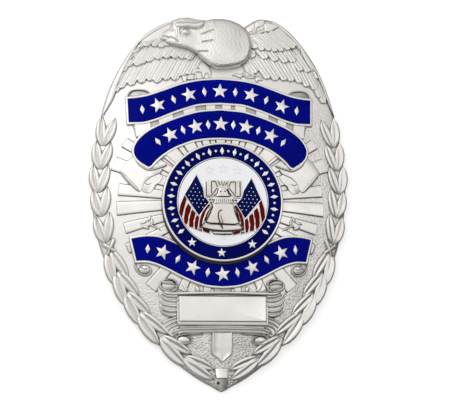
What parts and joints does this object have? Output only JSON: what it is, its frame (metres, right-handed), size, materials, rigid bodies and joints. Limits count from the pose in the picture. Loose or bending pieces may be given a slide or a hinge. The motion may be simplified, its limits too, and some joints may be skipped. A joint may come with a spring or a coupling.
{
  "type": "police shield badge",
  "caption": "Domed shield-shaped breast badge with an eagle, blue enamel ribbons, an enamelled round seal, a blank number plate, a laurel rim and a hollow back with a pin.",
  "frame": {"origin": "middle of the badge's box, in the plane of the rim of its hollow back, on which it rests", "axes": "+Z out of the face, +Y from the tip towards the eagle, +X to the right of one who looks at the face"},
  "size_m": [0.0542, 0.0796, 0.0087],
  "materials": {
    "plated_metal": "bright plating, darker in the recesses",
    "polished_plate": "mirror polish",
    "pin_metal": "plain plating",
    "ribbon_enamel": "glossy enamel",
    "navy_enamel": "glossy enamel",
    "white_enamel": "glossy enamel",
    "red_enamel": "glossy enamel"
  },
  "bodies": {
    "root": {"shield_body": "plated_metal", "enamel_ribbon_top": "ribbon_enamel", "enamel_ribbon_middle": "ribbon_enamel", "enamel_ribbon_bottom": "ribbon_enamel", "number_plate": "polished_plate", "seal_disc": "plated_metal", "seal_ring_enamel": "navy_enamel", "seal_field_enamel": "white_enamel", "canton_enamel_left": "navy_enamel", "canton_enamel_right": "navy_enamel", "stripe_enamel_left": "red_enamel", "stripe_enamel_right": "red_enamel", "pin_back": "pin_metal"}
  },
  "joints": []
}
